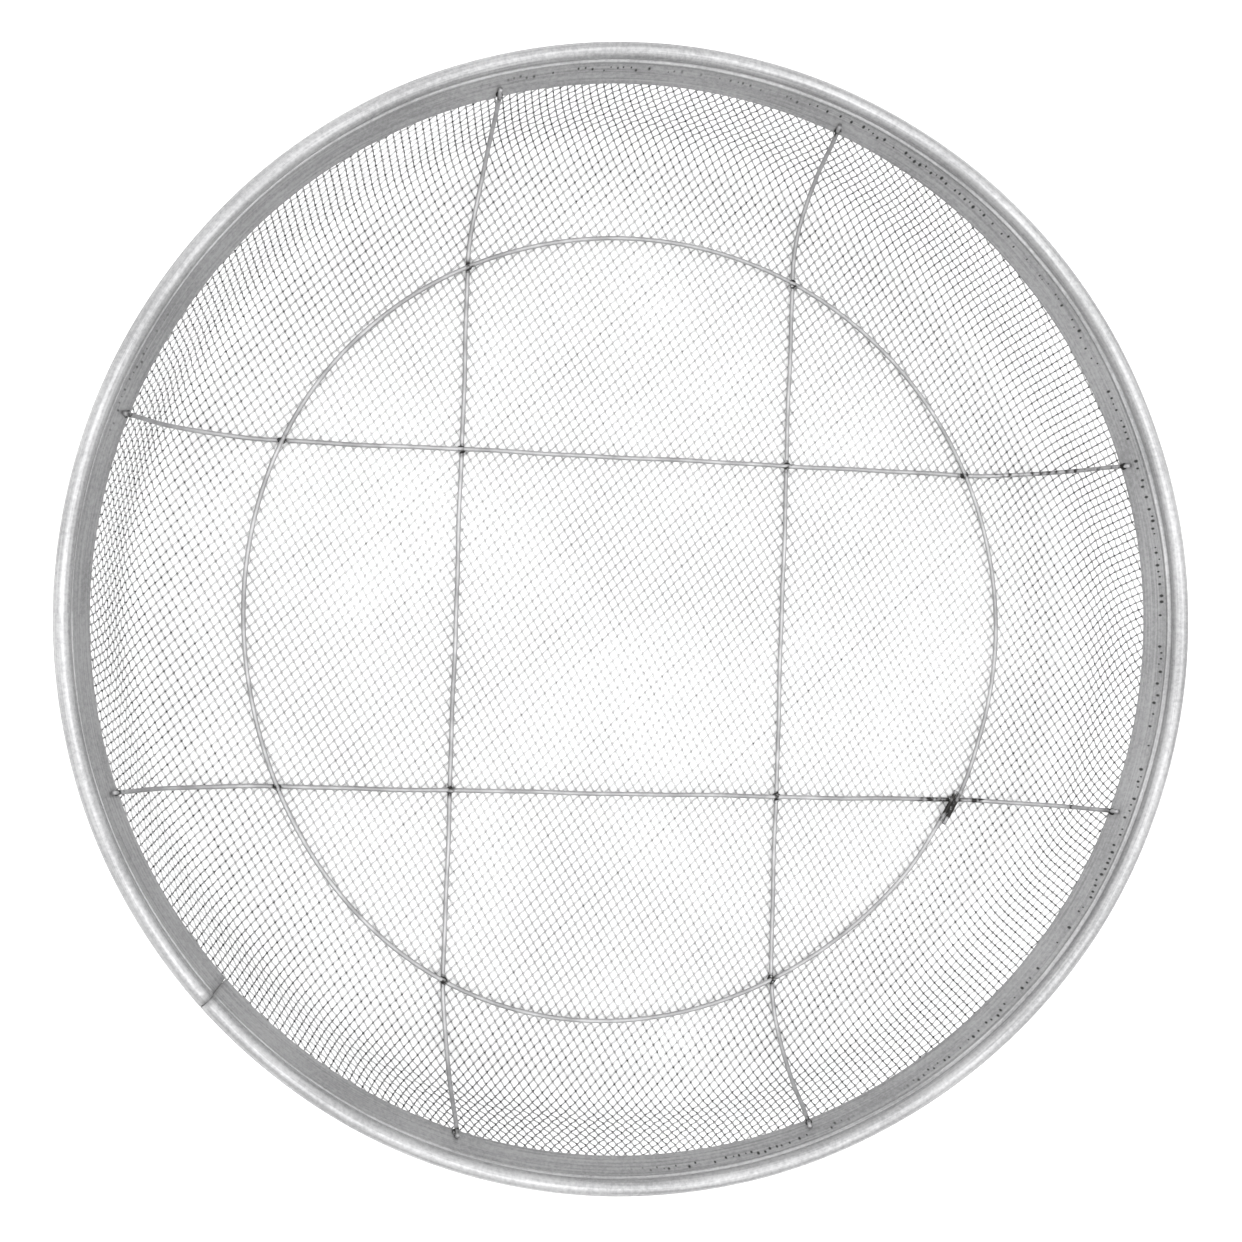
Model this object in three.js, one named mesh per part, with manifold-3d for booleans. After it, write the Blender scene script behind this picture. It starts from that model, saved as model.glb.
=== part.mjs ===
// Shallow round strainer basket: a rolled sheet-metal rim that clamps a pressed bowl of woven
// wire cloth, stiffened inside by four rib wires and one support ring.
// Millimetres, +Z up. The origin is on the rim's axis, at the underside of the flat bottom.
import * as THREE from 'three';
import { mergeVertices } from 'three/addons/utils/BufferGeometryUtils.js';
import Module from 'manifold-3d';

const wasm = await Module();
wasm.setup();

// ---- driving dimensions ----
const OUTER_DIAMETER = 350;      // over the rolled bead
const BEAD_DIAMETER = 5.2;
const BEAD_HEIGHT = 42.5;        // centre of the bead above the bottom
const STRIP_THICKNESS = 0.5;     // rim sheet
const COLLAR_EDGE_RADIUS = 165.5;
const COLLAR_EDGE_DROP = 12;     // collar's lower edge below the bead's centre
const WALL_ANGLE = THREE.MathUtils.degToRad(61);   // from the horizontal
const CLOTH_THICKNESS = 1.0;     // two crossing wires
const CORNER_RADIUS = 17;        // between flat bottom and wall, to the middle of the cloth
const LOWER_WALL_ANGLE = THREE.MathUtils.degToRad(67);   // the wall is steeper below the collar
const WALL_BEND_HEIGHT = 28.6;
const RIB_BEND_RADIUS = 36;      // the stiffer ribs bridge the cloth's corner in a wider bend
const CLOTH_IN_COLLAR = 8.5;     // width of cloth clamped between the leaves
const CORE_WIRE_DIAMETER = 3.4;
const SEAM_AZIMUTH = THREE.MathUtils.degToRad(220.5);
const SEAM_GAP = 0.6;
const WIRE_DIAMETER = 1.4;       // ribs and ring
const WIRE_GAP = 0.5;            // left for each weld nugget
const RING_RADIUS = 124.5;
const RING_CENTRE = new THREE.Vector2(1.1, -2.3);
const SPLICE_AZIMUTH = THREE.MathUtils.degToRad(331);
const SPLICE_ARC = THREE.MathUtils.degToRad(5.4);
const STUB_LENGTH = 4;           // rib end lying on the collar
const NUGGET_DIAMETER = 2.2;
const NUGGET_THICKNESS = 0.3;

// Segments round the axis, and sides and steps of the swept wires.
const AROUND = 64;
const WIRE_SIDES = 6;
const RIB_STEPS = 56;
const RING_STEPS = 84;

// The hand-bent ring is not quite round: [lobes, swing in mm, phase in degrees].
const RING_LOBES = [[2, 1.3, 167], [3, 1.2, 32], [4, 0.5, -101]];

// Each rib crosses the bowl on a chord. offset: its distance from the axis; skew: its slope;
// drift: how far its low and high ends veer sideways on the wall.
const RIBS = [
  { name: 'rib_west', along: 'y', offset: -54.9, skew: 0.033, drift: [2.5, 4.6] },
  { name: 'rib_east', along: 'y', offset: 51.9, skew: 0.034, drift: [5.7, 5.4] },
  { name: 'rib_north', along: 'x', offset: 51.8, skew: -0.031, drift: [2.4, 2.3] },
  { name: 'rib_south', along: 'x', offset: -56.3, skew: -0.0315, drift: [-0.7, -0.8] },
];
// The ribs along X rise over the two along Y where they cross.
const RIB_LIFT = { x: WIRE_DIAMETER + WIRE_GAP, y: 0 };

// ---- derived: the cloth's middle surface as a profile in (radius, height) ----
const beadRadius = BEAD_DIAMETER / 2;
const beadCentre = new THREE.Vector2(OUTER_DIAMETER / 2 - beadRadius, BEAD_HEIGHT);
const upWall = new THREE.Vector2(Math.cos(WALL_ANGLE), Math.sin(WALL_ANGLE));
const intoBowl = new THREE.Vector2(-Math.sin(WALL_ANGLE), Math.cos(WALL_ANGLE));
const leafInset = 0.3;           // clearance between cloth and leaf
const leafOffset = CLOTH_THICKNESS / 2 + leafInset + STRIP_THICKNESS / 2;
const collarFace = leafOffset + STRIP_THICKNESS / 2;
const collarEdge = new THREE.Vector2(COLLAR_EDGE_RADIUS, BEAD_HEIGHT - COLLAR_EDGE_DROP);
const clothAtCollar = collarEdge.clone().addScaledVector(intoBowl, -collarFace);
const lowerUpWall = new THREE.Vector2(Math.cos(LOWER_WALL_ANGLE), Math.sin(LOWER_WALL_ANGLE));
const lowerIntoBowl = new THREE.Vector2(-Math.sin(LOWER_WALL_ANGLE), Math.cos(LOWER_WALL_ANGLE));
const wallBend = downTo(clothAtCollar, upWall, WALL_BEND_HEIGHT);
const corner = arcBelow(wallBend, lowerUpWall, LOWER_WALL_ANGLE, CORNER_RADIUS);
const ribBend = arcBelow(clothAtCollar, upWall, WALL_ANGLE, RIB_BEND_RADIUS);

// The point at one height on a straight wall through `from`.
function downTo(from, up, height) {
  return from.clone().addScaledVector(up, (height - from.y) / up.y);
}

// An arc that joins the flat bottom to a straight wall: its upper end and its centre.
function arcBelow(from, up, angle, radius) {
  const floor = CLOTH_THICKNESS / 2;
  const top = downTo(from, up, floor + radius * (1 - Math.cos(angle)));
  const centre = new THREE.Vector2(top.x - radius * Math.sin(angle), floor + radius);
  return { top, centre };
}

const material = (color, roughness) =>
  new THREE.MeshStandardMaterial({ color, roughness, metalness: 1 });
const rimSteel = material(0xb4b6b8, 0.38);
const clothSteel = material(0xc4c5c7, 0.45);
const wireSteel = material(0x9fa1a3, 0.42);
const weldSteel = material(0x3c3b3a, 0.6);

const group = new THREE.Group();
function add(name, geometry, mat) {
  const mesh = new THREE.Mesh(geometry, mat);
  mesh.name = name;
  group.add(mesh);
  return mesh;
}

function smoothstep(x) {
  const t = THREE.MathUtils.clamp(x, 0, 1);
  return t * t * (3 - 2 * t);
}

// ---- solids of revolution and booleans ----
function revolve(profile) {
  return new THREE.LatheGeometry(profile, AROUND).rotateX(Math.PI / 2);
}

function toManifold(geometry) {
  const bare = geometry.clone();
  bare.deleteAttribute('normal');
  bare.deleteAttribute('uv');
  const merged = mergeVertices(bare, 1e-4);
  return new wasm.Manifold(new wasm.Mesh({
    numProp: 3,
    vertProperties: Float32Array.from(merged.attributes.position.array),
    triVerts: Uint32Array.from(merged.index.array),
  }));
}

function fromManifold(solid) {
  const mesh = solid.getMesh();
  const geometry = new THREE.BufferGeometry();
  geometry.setAttribute('position', new THREE.BufferAttribute(mesh.vertProperties, 3));
  geometry.setIndex(new THREE.BufferAttribute(mesh.triVerts, 1));
  geometry.computeVertexNormals();
  return geometry;
}

// ---- cloth: a thin bowl standing for the woven wire cloth ----
function clothSide(offset, arcSteps) {
  const points = [];
  for (let i = 0; i <= arcSteps; i++) {
    const a = (LOWER_WALL_ANGLE * i) / arcSteps;
    const r = CORNER_RADIUS - offset;
    points.push(new THREE.Vector2(
      corner.centre.x + r * Math.sin(a), corner.centre.y - r * Math.cos(a)));
  }
  const mitre = intoBowl.clone().add(lowerIntoBowl).normalize();
  points.push(wallBend.clone().addScaledVector(mitre, offset / mitre.dot(intoBowl)));
  points.push(clothAtCollar.clone()
    .addScaledVector(upWall, CLOTH_IN_COLLAR).addScaledVector(intoBowl, offset));
  return points;
}

function buildCloth() {
  const arcSteps = 7;
  const half = CLOTH_THICKNESS / 2;
  const outside = clothSide(-half, arcSteps);
  const inside = clothSide(half, arcSteps).reverse();
  return revolve([
    new THREE.Vector2(0, 0), ...outside, ...inside, new THREE.Vector2(0, CLOTH_THICKNESS)]);
}

// ---- rim: one strip folded round the cloth's edge and rolled round a core wire ----
function stripCentreline() {
  const arcSteps = 11;
  const r = beadRadius - STRIP_THICKNESS / 2;
  const innerFoot = clothAtCollar.clone().addScaledVector(intoBowl, leafOffset);
  const outerFoot = clothAtCollar.clone().addScaledVector(intoBowl, -leafOffset);
  // The leaf meets the bead from below; the roll ends where it runs into the outer leaf.
  const start = WALL_ANGLE + Math.PI;
  const outward = Math.atan2(-intoBowl.y, -intoBowl.x);
  const reach = outerFoot.clone().sub(beadCentre).dot(intoBowl) / -r;
  const end = outward - Math.acos(THREE.MathUtils.clamp(reach, -1, 1));
  const sweep = THREE.MathUtils.euclideanModulo(start - end, Math.PI * 2);
  const points = [innerFoot];
  for (let i = 0; i <= arcSteps; i++) {
    const a = start - (sweep * i) / arcSteps;
    points.push(new THREE.Vector2(
      beadCentre.x + r * Math.cos(a), beadCentre.y + r * Math.sin(a)));
  }
  points.push(outerFoot);
  return points;
}

// Offsets an open polyline sideways, keeping corners mitred.
function offsetLine(points, distance) {
  return points.map((p, i) => {
    const before = p.clone().sub(points[Math.max(i - 1, 0)]).normalize();
    const after = points[Math.min(i + 1, points.length - 1)].clone().sub(p).normalize();
    if (i === 0) before.copy(after);
    if (i === points.length - 1) after.copy(before);
    const normal = new THREE.Vector2(-before.y - after.y, before.x + after.x).normalize();
    const widen = 1 / normal.dot(new THREE.Vector2(-before.y, before.x));
    return p.clone().addScaledVector(normal, distance * widen);
  });
}

function buildRim() {
  const line = stripCentreline();
  const half = STRIP_THICKNESS / 2;
  const profile = [...offsetLine(line, -half), ...offsetLine(line, half).reverse()];
  profile.push(profile[0].clone());
  const slotDepth = 24;
  const slotHeight = 24;
  const slot = new THREE.BoxGeometry(slotDepth, SEAM_GAP, slotHeight)
    .translate(OUTER_DIAMETER / 2 - slotDepth / 3, 0, BEAD_HEIGHT - slotHeight / 4)
    .rotateZ(SEAM_AZIMUTH);
  return fromManifold(toManifold(revolve(profile)).subtract(toManifold(slot)));
}

function buildCoreWire() {
  return new THREE.TorusGeometry(beadCentre.x, CORE_WIRE_DIAMETER / 2, WIRE_SIDES, AROUND)
    .translate(0, 0, BEAD_HEIGHT);
}

// ---- wires ----
function wireSection() {
  const shape = new THREE.Shape();
  for (let i = 0; i < WIRE_SIDES; i++) {
    const a = (2 * Math.PI * i) / WIRE_SIDES;
    const p = [Math.cos(a) * WIRE_DIAMETER / 2, Math.sin(a) * WIRE_DIAMETER / 2];
    if (i) shape.lineTo(...p); else shape.moveTo(...p);
  }
  shape.closePath();
  return shape;
}

class PathCurve extends THREE.Curve {
  constructor(pointAt) {
    super();
    this.pointAt = pointAt;
  }

  getPoint(t, target = new THREE.Vector3()) {
    return target.copy(this.pointAt(t));
  }
}

function sweepWire(pointAt, steps) {
  return new THREE.ExtrudeGeometry(wireSection(), {
    steps, curveSegments: 1, extrudePath: new PathCurve(pointAt) });
}

// Height of a rib's middle, lying `offset` inside the bottom and the collar, at radius r.
function heightAt(r, offset) {
  const radius = RIB_BEND_RADIUS - offset;
  const beyond = r - ribBend.centre.x;
  if (beyond <= 0) return CLOTH_THICKNESS / 2 + offset;
  if (beyond <= radius * Math.sin(WALL_ANGLE)) {
    return ribBend.centre.y - Math.sqrt(radius * radius - beyond * beyond);
  }
  const wallStart = ribBend.top.clone().addScaledVector(intoBowl, offset);
  return wallStart.y + (r - wallStart.x) * Math.tan(WALL_ANGLE);
}

const onCloth = CLOTH_THICKNESS / 2 + WIRE_GAP + WIRE_DIAMETER / 2;
const onCollar = collarFace + WIRE_GAP + 0.2 + WIRE_DIAMETER / 2;
const levelOnCloth = CLOTH_THICKNESS / 2 + onCloth;
const ringHeight = levelOnCloth + WIRE_DIAMETER + WIRE_GAP;

const driftStart = 112;          // where a rib leaves its straight chord
const driftSpan = 48;
const liftFull = 60;             // a lifted rib is level to here, then comes down
const liftSpan = 36;
const stepUpStart = 155;         // radius where a rib starts to climb on to the collar
const stepUpSpan = 8;

function ribPlan(rib, v) {
  const veer = smoothstep((Math.abs(v) - driftStart) / driftSpan) * rib.drift[v < 0 ? 0 : 1];
  const side = rib.offset + rib.skew * v + veer;
  return rib.along === 'y' ? new THREE.Vector2(side, v) : new THREE.Vector2(v, side);
}

function ribPoint(rib, v) {
  const plan = ribPlan(rib, v);
  const r = plan.length();
  const offset = THREE.MathUtils.lerp(
    onCloth, onCollar, smoothstep((r - stepUpStart) / stepUpSpan));
  const lift = RIB_LIFT[rib.along] * (1 - smoothstep((Math.abs(v) - liftFull) / liftSpan));
  return new THREE.Vector3(plan.x, plan.y, heightAt(r, offset) + lift);
}

const ribEndRadius = collarEdge.x + STUB_LENGTH * upWall.x
  + (onCollar - collarFace) * intoBowl.x;

// Walks out along a rib until it is `radiusAt(direction)` away from `centre`.
function walkOut(rib, sign, centre, radiusAt) {
  let v = sign * RING_RADIUS;
  for (let i = 0; i < 40; i++) {
    const arm = ribPlan(rib, v).sub(centre);
    v += sign * (radiusAt(arm.angle()) - arm.length());
  }
  return v;
}

const axis = new THREE.Vector2(0, 0);
function ribEnd(rib, sign) {
  return walkOut(rib, sign, axis, () => ribEndRadius);
}

function buildRib(rib) {
  const low = ribEnd(rib, -1);
  const high = ribEnd(rib, 1);
  return sweepWire((t) => ribPoint(rib, THREE.MathUtils.lerp(low, high, t)), RIB_STEPS);
}

function ringRadiusAt(angle) {
  return RING_LOBES.reduce((sum, [lobes, swing, phase]) =>
    sum + swing * Math.cos(lobes * angle - THREE.MathUtils.degToRad(phase)), RING_RADIUS);
}

// The ring is one open wire: its two ends lie side by side for the length of the splice.
function ringPoint(t) {
  const turned = t * (2 * Math.PI + SPLICE_ARC);
  const merge = THREE.MathUtils.degToRad(10);
  const apart = (WIRE_DIAMETER + WIRE_GAP) / 2;
  const first = 1 - smoothstep((turned - SPLICE_ARC) / merge);
  const last = smoothstep((turned - (2 * Math.PI - merge)) / merge);
  const angle = SPLICE_AZIMUTH - SPLICE_ARC / 2 + turned;
  const r = ringRadiusAt(angle) + apart * (first - last);
  return new THREE.Vector3(
    RING_CENTRE.x + r * Math.cos(angle), RING_CENTRE.y + r * Math.sin(angle), ringHeight);
}

// ---- weld nuggets: thin round pads squeezed between two crossing wires ----
function nugget() {
  const pad = new THREE.CylinderGeometry(
    NUGGET_DIAMETER / 2, NUGGET_DIAMETER / 2, NUGGET_THICKNESS, 8);
  return pad.rotateX(Math.PI / 2);
}

function addFlatNugget(name, x, y) {
  add(name, nugget(), weldSteel)
    .position.set(x, y, levelOnCloth + (WIRE_DIAMETER + WIRE_GAP) / 2);
}

function addRibCrossings() {
  for (const upright of RIBS.filter((rib) => rib.along === 'y')) {
    for (const level of RIBS.filter((rib) => rib.along === 'x')) {
      let x = upright.offset;
      let y = level.offset;
      for (let i = 0; i < 8; i++) {
        x = ribPlan(upright, y).x;
        y = ribPlan(level, x).y;
      }
      addFlatNugget(`weld_${upright.name}_${level.name}`, x, y);
    }
  }
}

const endNames = { x: ['west', 'east'], y: ['south', 'north'] };
function addRingAndEndWelds(rib) {
  [-1, 1].forEach((sign, k) => {
    const end = endNames[rib.along][k];
    const cross = ribPlan(rib, walkOut(rib, sign, RING_CENTRE, ringRadiusAt));
    addFlatNugget(`weld_ring_${rib.name}_${end}`, cross.x, cross.y);
    const v = ribEnd(rib, sign) - sign * STUB_LENGTH * 0.25;
    const stub = ribPoint(rib, v);
    const inward = new THREE.Vector3(-stub.x, -stub.y, 0).normalize();
    const normal = inward.multiplyScalar(-intoBowl.x).setZ(intoBowl.y).normalize();
    const pad = add(`weld_end_${rib.name}_${end}`, nugget(), weldSteel);
    const down = WIRE_DIAMETER / 2 + 0.1 + NUGGET_THICKNESS / 2;
    pad.position.copy(stub).addScaledVector(normal, -down);
    pad.quaternion.setFromUnitVectors(new THREE.Vector3(0, 0, 1), normal);
  });
}

function addSpliceWeld() {
  const r = ringRadiusAt(SPLICE_AZIMUTH);
  const seamLength = 7;
  const seam = new THREE.BoxGeometry(WIRE_GAP - 0.2, seamLength, WIRE_DIAMETER * 0.6);
  const bar = add('weld_ring_splice', seam, weldSteel);
  bar.position.set(
    RING_CENTRE.x + r * Math.cos(SPLICE_AZIMUTH), RING_CENTRE.y + r * Math.sin(SPLICE_AZIMUTH),
    ringHeight);
  bar.rotation.z = SPLICE_AZIMUTH;
}

add('rim_band', buildRim(), rimSteel);
add('rim_core_wire', buildCoreWire(), wireSteel);
add('mesh_cloth', buildCloth(), clothSteel);
for (const rib of RIBS) add(rib.name, buildRib(rib), wireSteel);
add('support_ring', sweepWire(ringPoint, RING_STEPS), wireSteel);
addRibCrossings();
RIBS.forEach(addRingAndEndWelds);
addSpliceWeld();

export default group;
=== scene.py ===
"""Round strainer basket of woven wire cloth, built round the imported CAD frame.

Lengths in the geometry code are millimetres and become metres when a mesh is made.
The origin is on the rim's axis at the underside of the flat bottom, +Z up.
Points of a section are (radius, height) in the half plane out from the rim's axis.
"""

import math
from collections import namedtuple
from functools import partial

import bpy
import numpy as np
from mathutils import Matrix, Vector


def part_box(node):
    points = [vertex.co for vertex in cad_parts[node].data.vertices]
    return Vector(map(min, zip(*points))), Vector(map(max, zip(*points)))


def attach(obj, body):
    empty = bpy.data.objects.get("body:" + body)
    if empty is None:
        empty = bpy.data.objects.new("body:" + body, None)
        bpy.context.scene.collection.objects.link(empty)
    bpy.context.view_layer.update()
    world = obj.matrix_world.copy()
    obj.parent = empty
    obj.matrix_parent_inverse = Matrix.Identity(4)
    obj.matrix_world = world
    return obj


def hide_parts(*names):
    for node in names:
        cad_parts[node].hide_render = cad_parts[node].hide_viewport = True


MM = 0.001
rng = np.random.default_rng(7)

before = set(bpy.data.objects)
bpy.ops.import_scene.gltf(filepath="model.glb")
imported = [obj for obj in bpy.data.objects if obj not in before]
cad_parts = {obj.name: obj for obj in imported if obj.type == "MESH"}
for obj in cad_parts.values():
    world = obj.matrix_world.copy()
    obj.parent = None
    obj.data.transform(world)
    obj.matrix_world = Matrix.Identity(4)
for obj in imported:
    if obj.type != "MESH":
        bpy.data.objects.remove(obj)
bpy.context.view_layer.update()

# ---- the rim: a bead rolled from strip, and a collar of two leaves that hold the cloth ----
_, rim_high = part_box("rim_band")
OUTER_R = rim_high.x / MM
BEAD_R = 2.6
BEAD_Z = 42.5
STRIP = 0.5
LEAF_GAP = 0.3
COLLAR_EDGE_R = 165.5
COLLAR_DROP = 12.0
SEAM_AZIMUTH = math.radians(220.5)
CORE_WIRE_R = 1.7

# ---- the bowl: flat bottom, rounded corner, lower wall, slight bend, and the collar's slope ----
WALL = math.radians(61)
LOWER_WALL = math.radians(67)
CORNER_R = 17.0
# The slope changes from LOWER_WALL to WALL here.
WALL_BEND_Z = 28.6
WALL_BEND_R = 5.0
WALL_PAST_BEND = 90
# Two crossing wires are 1 mm thick together.
CLOTH_HALF = 0.5
CLOTH_IN_COLLAR = 6.5
SECTION_STEP = 0.1

UP_WALL = np.array([math.cos(WALL), math.sin(WALL)])
INTO_BOWL = np.array([-math.sin(WALL), math.cos(WALL)])
LEAF_OFFSET = CLOTH_HALF + LEAF_GAP + STRIP / 2
COLLAR_FACE = LEAF_OFFSET + STRIP / 2
collar_edge = np.array([COLLAR_EDGE_R, BEAD_Z - COLLAR_DROP])
cloth_at_collar = collar_edge - INTO_BOWL * COLLAR_FACE
bead_centre = np.array([OUTER_R - BEAD_R, BEAD_Z])


def smoothstep(x):
    t = np.clip(x, 0.0, 1.0)
    return t * t * (3 - 2 * t)


def bowl_line():
    """Arc length, radius, height and slope along the bowl's section, from the centre outward."""
    bend_at = cloth_at_collar - UP_WALL * (cloth_at_collar[1] - WALL_BEND_Z) / UP_WALL[1]
    bend_turn = LOWER_WALL - WALL
    bend_cut = WALL_BEND_R * math.tan(bend_turn / 2)
    corner_cut = CORNER_R * math.tan(LOWER_WALL / 2)
    rise = WALL_BEND_Z - CLOTH_HALF
    flat = bend_at[0] - rise / math.tan(LOWER_WALL) - corner_cut
    straight = rise / math.sin(LOWER_WALL) - corner_cut - bend_cut
    stretches = [0, flat, CORNER_R * LOWER_WALL, straight, WALL_BEND_R * bend_turn, WALL_PAST_BEND]
    ends = np.cumsum(stretches)
    s = np.arange(0, ends[-1], SECTION_STEP)
    angle = np.interp(s, ends, [0, 0, LOWER_WALL, LOWER_WALL, WALL, WALL])
    middle = (angle[1:] + angle[:-1]) / 2
    r = np.concatenate([[0], np.cumsum(np.cos(middle) * SECTION_STEP)])
    z = CLOTH_HALF + np.concatenate([[0], np.cumsum(np.sin(middle) * SECTION_STEP)])
    return s, r, z, np.tan(angle)


bowl_s, bowl_r, bowl_z, bowl_slope = bowl_line()


def cloth_height(r):
    """Height and slope of the cloth's middle at radius r."""
    return np.interp(r, bowl_r, bowl_z), np.interp(r, bowl_r, bowl_slope)


def meridian(s, azimuth):
    """The points of the cloth at arc lengths s from the centre, going out along one azimuth."""
    r = np.interp(s, bowl_s, bowl_r)
    return np.stack([r * np.cos(azimuth), r * np.sin(azimuth), np.interp(s, bowl_s, bowl_z)], -1)


# ---- mesh helpers ----
def make_mesh(name, verts, faces, material):
    """A smooth-shaded object from points in millimetres."""
    mesh = bpy.data.meshes.new(name)
    mesh.from_pydata((np.asarray(verts) * MM).tolist(), [], faces)
    mesh.update()
    mesh.shade_smooth()
    obj = bpy.data.objects.new(name, mesh)
    bpy.context.scene.collection.objects.link(obj)
    obj.data.materials.append(material)
    return obj


def add_piece(obj, slot, *nodes):
    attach(obj, "root")
    if nodes:
        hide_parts(*nodes)


def point_attribute(obj, label, values):
    """One number for each vertex, which a material reads by its label."""
    layer = obj.data.attributes.new(label, "FLOAT", "POINT")
    layer.data.foreach_set("value", np.asarray(values).astype(np.float32))


def tube(points, normals, radius, sides):
    """One capped tube along points, with its sections set out from the given normals."""
    tangent = np.gradient(points, axis=0)
    tangent /= np.linalg.norm(tangent, axis=1)[:, None]
    normals = normals - (normals * tangent).sum(1)[:, None] * tangent
    normals /= np.linalg.norm(normals, axis=1)[:, None]
    side = np.cross(tangent, normals)
    angles = (2 * np.pi * np.arange(sides) / sides)[None, :, None]
    circle = np.cos(angles) * normals[:, None] + np.sin(angles) * side[:, None]
    verts = (points[:, None] + radius * circle).reshape(-1, 3)
    k = np.arange(len(points) - 1)[:, None] * sides
    j = np.arange(sides)[None, :]
    after = (j + 1) % sides
    quads = np.stack([k + j, k + after, k + after + sides, k + j + sides], -1).reshape(-1, 4)
    last = (len(points) - 1) * sides
    caps = [list(range(sides - 1, -1, -1)), [last + i for i in range(sides)]]
    return verts, quads, caps


# ---- node helpers ----
# The Mix node's sockets when it mixes colours.
MIX_FACTOR, MIX_BASE, MIX_OVER, MIX_RESULT = 0, 6, 7, 2


def new_material(name, metallic):
    """A material, its node tree, its shader and the object's own coordinates."""
    material = bpy.data.materials.new(name)
    material.use_nodes = True
    tree = material.node_tree
    shader = tree.nodes["Principled BSDF"]
    shader.inputs["Metallic"].default_value = metallic
    where = tree.nodes.new("ShaderNodeTexCoord").outputs["Object"]
    return material, tree, shader, where


def node(tree, kind, inputs=None, **settings):
    made = tree.nodes.new(kind)
    for key, value in settings.items():
        setattr(made, key, value)
    for key, value in (inputs or {}).items():
        made.inputs[key].default_value = value
    return made


def noise(tree, where, scale, detail, roughness=0.5):
    """Smooth noise around 0.5."""
    inputs = {"Scale": scale, "Detail": detail, "Roughness": roughness}
    made = node(tree, "ShaderNodeTexNoise", inputs)
    tree.links.new(where, made.inputs["Vector"])
    return made.outputs[0]


def attribute(tree, label):
    return node(tree, "ShaderNodeAttribute", attribute_name=label).outputs["Fac"]


def grey(value):
    return (value, value, value)


def ramp(tree, source, stops):
    """A colour for each value of source, between stops of (value, colour)."""
    made = tree.nodes.new("ShaderNodeValToRGB")
    elements = made.color_ramp.elements
    while len(elements) < len(stops):
        elements.new(0.5)
    for element, (position, colour) in zip(elements, stops):
        element.position = position
        element.color = (*colour, 1)
    tree.links.new(source, made.inputs[0])
    return made.outputs[0]


def calc(tree, operation, a, b=None, clamp=False):
    """A Math node on sockets or plain numbers."""
    made = node(tree, "ShaderNodeMath", operation=operation, use_clamp=clamp)
    for socket, value in zip(made.inputs, (a, b)):
        if hasattr(value, "is_linked"):
            tree.links.new(value, socket)
        elif value is not None:
            socket.default_value = value
    return made.outputs[0]


def arithmetic(tree):
    """Functions that add, subtract and multiply in one node tree."""
    return [partial(calc, tree, operation) for operation in ("ADD", "SUBTRACT", "MULTIPLY")]


def mix_colour(tree, factor, base, over):
    """The base colour, turned into one plain colour where factor is 1."""
    made = node(tree, "ShaderNodeMix", {MIX_OVER: (*over, 1)}, data_type="RGBA")
    tree.links.new(factor, made.inputs[MIX_FACTOR])
    tree.links.new(base, made.inputs[MIX_BASE])
    return made.outputs[MIX_RESULT]


# ---- materials ----
WIRE_DARK, WIRE_LIGHT = (0.25, 0.25, 0.253), (0.37, 0.37, 0.375)
CLOTH_DARK, CLOTH_LIGHT = (0.43, 0.43, 0.433), (0.6, 0.6, 0.604)
SHEET_DARK, SHEET_LIGHT = (0.26, 0.26, 0.263), (0.41, 0.41, 0.414)
SCORCHED = (0.012, 0.011, 0.01)
SCORCH_STRENGTH = 2.4
SHADE_AND_TONE_DARK = grey(0.01)
# Painted shade at the middle of a crossing and along the whole wire, and how closely it keeps to the middle.
SHADE_AT_CROSSING = 1.05
SHADE_ALONG_WIRE = 0.12
SHADE_CLOSENESS = 4.5


def wire_material():
    """Drawn wire: uneven grey along its length, black where a weld has burnt it."""
    material, tree, shader, where = new_material("rib_wire", 0.6)
    _, subtract, multiply = arithmetic(tree)
    patches = noise(tree, where, scale=160.0, detail=4.0)
    colour = ramp(tree, patches, [(0.35, WIRE_DARK), (0.65, WIRE_LIGHT)])
    speckle = noise(tree, where, scale=620.0, detail=1.0)
    bare = multiply(subtract(speckle, 0.4), 5.0, clamp=True)
    scorch = multiply(attribute(tree, "scorch"), SCORCH_STRENGTH)
    colour = mix_colour(tree, subtract(scorch, bare, clamp=True), colour, SCORCHED)
    tree.links.new(colour, shader.inputs["Base Color"])
    rough = ramp(tree, patches, [(0.3, grey(0.6)), (0.7, grey(0.44))])
    tree.links.new(rough, shader.inputs["Roughness"])
    return material


def cloth_material():
    """Fine wire: patchy grey, with painted shade where two wires cross."""
    material, tree, shader, where = new_material("cloth_wire", 0.85)
    add, subtract, multiply = arithmetic(tree)
    patches = noise(tree, where, scale=14.0, detail=3.0)
    colour = ramp(tree, patches, [(0.35, CLOTH_DARK), (0.65, CLOTH_LIGHT)])
    # Crossings are at whole numbers. The constant only keeps FRACT on positive numbers.
    count = add(attribute(tree, "crossing"), 200.0)
    from_middle = calc(tree, "ABSOLUTE", subtract(calc(tree, "FRACT", count), 0.5))
    near = calc(tree, "POWER", multiply(from_middle, 2.0), SHADE_CLOSENESS, clamp=True)
    near = add(multiply(near, SHADE_AT_CROSSING), SHADE_ALONG_WIRE)
    # Crossings, and more so those on the wall, are mixed towards near black: painted shade, plus a random
    # darker tone on some wires.
    shade_and_tone_mix = multiply(attribute(tree, "shade_and_tone"), near, clamp=True)
    colour = mix_colour(tree, shade_and_tone_mix, colour, SHADE_AND_TONE_DARK)
    tree.links.new(colour, shader.inputs["Base Color"])
    shader.inputs["Roughness"].default_value = 0.36
    return material


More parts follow.
